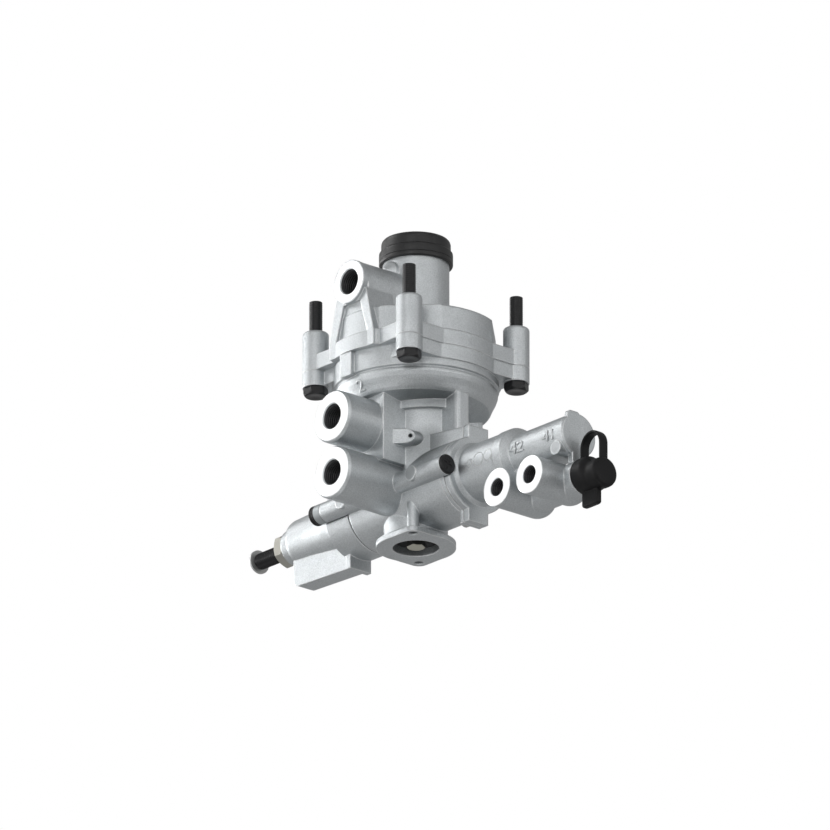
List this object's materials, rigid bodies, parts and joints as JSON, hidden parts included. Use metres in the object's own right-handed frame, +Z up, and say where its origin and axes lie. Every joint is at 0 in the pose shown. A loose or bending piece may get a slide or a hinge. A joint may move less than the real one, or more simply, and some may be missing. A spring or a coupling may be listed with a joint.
{
  "type": "brake force regulator",
  "caption": "Cast aluminium air brake force regulator: round diaphragm housing with a capped tower and studded ears, a cross bore for the load pistons, threaded ports and an exhaust flange.",
  "frame": {"origin": "centre of the four studs, in the plane of the ear tops that sit under the chassis bracket", "axes": "+Z up along the studs and the main axis, -Y the side of the delivery and bellows ports, +X along the cross bore towards the test connection"},
  "size_m": [0.3126, 0.124, 0.2105],
  "materials": {
    "cast_aluminium": "sandblasted die casting with machined port faces",
    "turned_aluminium": "turned",
    "spring_steel": "bare spring wire",
    "zinc_steel": "zinc plated",
    "black_steel": "black coated",
    "rubber": "moulded rubber",
    "black_plastic": "moulded plastic",
    "gasket": "pressed sheet"
  },
  "bodies": {
    "housing": {"upper_cover": "cast_aluminium", "lower_housing": "cast_aluminium", "spring_housing": "cast_aluminium", "control_housing": "cast_aluminium", "barrel_seal": "rubber", "load_spring": "spring_steel", "control_gasket": "gasket", "bar_screws": "zinc_steel", "clamp_ring": "turned_aluminium", "diaphragm": "rubber", "fan_ring": "black_plastic", "control_spring": "spring_steel", "tower_screw": "turned_aluminium", "valve_guide": "black_plastic", "valve_spring": "spring_steel", "exhaust_flap": "rubber", "flap_sleeve": "zinc_steel", "flap_screw": "zinc_steel", "side_plug_left": "turned_aluminium", "side_ring_left": "rubber", "side_plug_right": "black_steel", "test_connection": "zinc_steel", "through_bolts": "black_steel"},
    "control_piston": {"control_piston": "turned_aluminium"},
    "relay_piston": {"relay_piston": "turned_aluminium", "relay_seal": "rubber"},
    "inlet_valve": {"inlet_valve": "rubber"},
    "tappet": {"tappet": "zinc_steel"},
    "cam_slide": {"cam_slide": "turned_aluminium"},
    "large_piston": {"large_piston": "turned_aluminium", "large_seal": "rubber"},
    "small_piston": {"small_piston": "turned_aluminium", "small_seal": "rubber"},
    "spring_plate": {"spring_plate": "zinc_steel"},
    "adjusting_screw": {"adjusting_screw": "black_steel", "screw_disc": "zinc_steel"},
    "lock_nut": {"lock_nut": "zinc_steel"},
    "tower_cap": {"tower_cap": "rubber"},
    "test_cap": {"test_cap": "rubber"}
  },
  "joints": [
    {"name": "control_stroke", "type": "slide", "parent": "housing", "child": "control_piston", "axis": [0, 0, 1], "range_m": [-0.002, 0], "stiffness_N_per_m": 1500, "deforming": ["control_spring"]},
    {"name": "relay_stroke", "type": "slide", "parent": "housing", "child": "relay_piston", "axis": [0, 0, 1], "range_m": [-0.003, 0], "stiffness_N_per_m": 600},
    {"name": "valve_stroke", "type": "slide", "parent": "housing", "child": "inlet_valve", "axis": [0, 0, 1], "range_m": [-0.003, 0], "deforming": ["valve_spring"]},
    {"name": "tappet_lift", "type": "slide", "parent": "housing", "child": "tappet", "axis": [0, 0, 1], "range_m": [0, 0.00167]},
    {"name": "load_stroke", "type": "slide", "parent": "housing", "child": "cam_slide", "axis": [1, 0, 0], "range_m": [-0.01, 0], "stiffness_N_per_m": 3000, "deforming": ["load_spring"]},
    {"name": "large_piston_stroke", "type": "slide", "parent": "housing", "child": "large_piston", "axis": [1, 0, 0], "range_m": [-0.01, 0]},
    {"name": "small_piston_stroke", "type": "slide", "parent": "housing", "child": "small_piston", "axis": [1, 0, 0], "range_m": [-0.01, 0]},
    {"name": "spring_setting", "type": "slide", "parent": "housing", "child": "spring_plate", "axis": [1, 0, 0], "range_m": [-0.003, 0.003]},
    {"name": "setting_turn", "type": "hinge", "parent": "spring_plate", "child": "adjusting_screw", "pos_m": [-0.1105, 0, -0.1064], "axis": [1, 0, 0], "range_deg": [-720, 720]},
    {"name": "lock_nut_turn", "type": "hinge", "parent": "housing", "child": "lock_nut", "pos_m": [-0.1105, 0, -0.1064], "axis": [1, 0, 0], "range_deg": [-30, 0]},
    {"name": "tower_cap_off", "type": "slide", "parent": "housing", "child": "tower_cap", "axis": [0, 0, 1], "range_m": [0, 0.03]},
    {"name": "test_cap_off", "type": "slide", "parent": "housing", "child": "test_cap", "axis": [1, 0, 0], "range_m": [0, 0.025]}
  ],
  "couplings": [
    {"joint": "valve_stroke", "follows": "relay_stroke", "ratio": 1},
    {"joint": "tappet_lift", "follows": "load_stroke", "ratio": -0.16667},
    {"joint": "large_piston_stroke", "follows": "load_stroke", "ratio": 1},
    {"joint": "small_piston_stroke", "follows": "load_stroke", "ratio": 1},
    {"joint": "spring_setting", "follows": "setting_turn", "m_per_rad": 0.00023873}
  ]
}
